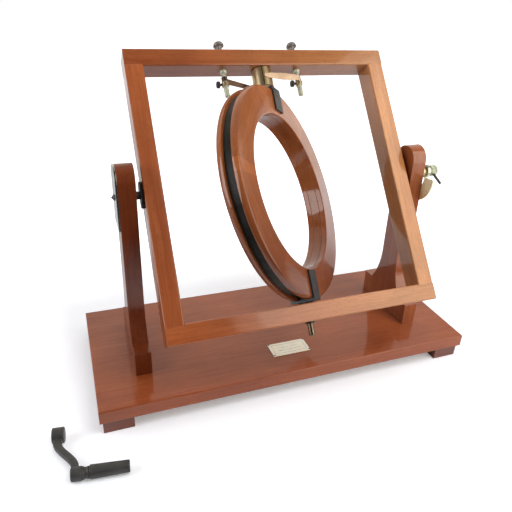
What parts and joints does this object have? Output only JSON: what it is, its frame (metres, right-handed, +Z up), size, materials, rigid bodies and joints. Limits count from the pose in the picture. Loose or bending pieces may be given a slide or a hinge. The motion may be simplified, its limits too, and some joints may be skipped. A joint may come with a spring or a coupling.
{
  "type": "earth inductor",
  "caption": "Earth inductor: a wooden ring coil on a spindle in a square tilting frame held between two uprights on a baseboard, with a loose hand crank.",
  "frame": {"origin": "middle of the base at the level that the feet stand on", "axes": "+X along the base towards the clamp and scale, +Y away from the front, +Z up"},
  "size_m": [0.561, 0.2892, 0.4056],
  "materials": {
    "mahogany": "french polished, glossy",
    "dark_mahogany": "french polished, glossy",
    "brass": "aged satin",
    "lacquered_brass": "lacquered, bright",
    "nickel": "dull nickel plate",
    "black_iron": "blacked, semi-gloss",
    "black_enamel": "satin black",
    "ebonite": "polished ebonite",
    "winding": "shellacked covered wire",
    "label": "smooth ivory, bare"
  },
  "bodies": {
    "base": {"baseboard": "mahogany", "feet": "mahogany", "foot_screws": "brass", "left_upright": "dark_mahogany", "right_upright": "mahogany", "upright_screws": "brass", "left_bush": "brass", "right_bush": "brass", "left_bearing_plate": "black_iron", "bearing_plate_screws": "black_iron", "label_plate": "label", "label_pins": "brass", "scale_arc": "lacquered_brass", "scale_screws": "brass"},
    "frame": {"top_rail": "mahogany", "bottom_rail": "mahogany", "left_stile": "mahogany", "right_stile": "mahogany", "left_trunnion_plate": "black_iron", "right_trunnion_plate": "black_iron", "trunnion_plate_screws": "black_iron", "left_trunnion_pin": "black_iron", "right_trunnion_pin": "nickel", "index_pointer": "black_iron", "distance_sleeve": "brass", "clamp_washer": "nickel", "top_bearing": "brass", "bottom_bearing": "brass", "left_brush_post": "nickel", "right_brush_post": "nickel", "terminal_washers": "nickel"},
    "coil": {"front_flange": "mahogany", "back_flange": "mahogany", "ring_core": "mahogany", "coil_winding": "winding", "coil_leads": "winding", "top_strap": "black_iron", "bottom_strap": "black_iron", "strap_screws": "black_iron", "upper_spindle": "nickel", "lower_spindle": "black_iron", "commutator_core": "ebonite", "front_segment": "brass", "back_segment": "brass"},
    "clamp": {"clamp_nut": "nickel", "clamp_lever": "black_iron"},
    "left_brush": {"left_brush_leaf": "lacquered_brass", "left_brush_clamp": "nickel"},
    "right_brush": {"right_brush_leaf": "lacquered_brass", "right_brush_clamp": "nickel"},
    "left_thumb": {"left_thumb_screw": "black_iron"},
    "right_thumb": {"right_thumb_screw": "black_iron"},
    "left_terminal": {"left_terminal_cap": "nickel"},
    "right_terminal": {"right_terminal_cap": "nickel"},
    "crank": {"crank_arm": "black_enamel", "crank_collar": "black_enamel", "crank_pin": "nickel"},
    "grip": {"crank_grip": "black_enamel"}
  },
  "joints": [
    {"name": "frame_tilt", "type": "hinge", "parent": "base", "child": "frame", "pos_m": [0, 0, 0.2515], "axis": [1, 0, 0], "continuous": true},
    {"name": "coil_spin", "type": "hinge", "parent": "frame", "child": "coil", "pos_m": [0, 0, 0.2515], "axis": [0, 0.6198, 0.7848], "continuous": true},
    {"name": "clamp_turn", "type": "hinge", "parent": "frame", "child": "clamp", "pos_m": [0.225, 0, 0.2515], "axis": [1, 0, 0], "range_deg": [0, 270]},
    {"name": "left_brush_swing", "type": "hinge", "parent": "frame", "child": "left_brush", "pos_m": [-0.0522, 0.08512, 0.36331], "axis": [0, 0.6198, 0.7848], "range_deg": [0, 15]},
    {"name": "right_brush_swing", "type": "hinge", "parent": "frame", "child": "right_brush", "pos_m": [0.0493, 0.08512, 0.36331], "axis": [0, 0.6198, 0.7848], "range_deg": [0, 15]},
    {"name": "left_thumb_turn", "type": "hinge", "parent": "left_brush", "child": "left_thumb", "pos_m": [-0.0607, 0.08096, 0.35805], "axis": [-1, 0, 0], "range_deg": [0, 360]},
    {"name": "right_thumb_turn", "type": "hinge", "parent": "right_brush", "child": "right_thumb", "pos_m": [0.0408, 0.08096, 0.35805], "axis": [-1, 0, 0], "range_deg": [0, 360]},
    {"name": "left_terminal_turn", "type": "hinge", "parent": "frame", "child": "left_terminal", "pos_m": [-0.0522, 0.1127, 0.39823], "axis": [0, 0.6198, 0.7848], "range_deg": [0, 720]},
    {"name": "right_terminal_turn", "type": "hinge", "parent": "frame", "child": "right_terminal", "pos_m": [0.0493, 0.1127, 0.39823], "axis": [0, 0.6198, 0.7848], "range_deg": [0, 720]},
    {"name": "crank_lift", "type": "slide", "parent": "base", "child": "crank", "axis": [0, 0, 1], "range_m": [0, 0.12]},
    {"name": "grip_spin", "type": "hinge", "parent": "crank", "child": "grip", "pos_m": [-0.25634, -0.15961, 0.0076], "axis": [0.993, -0.1184, 0], "continuous": true}
  ]
}
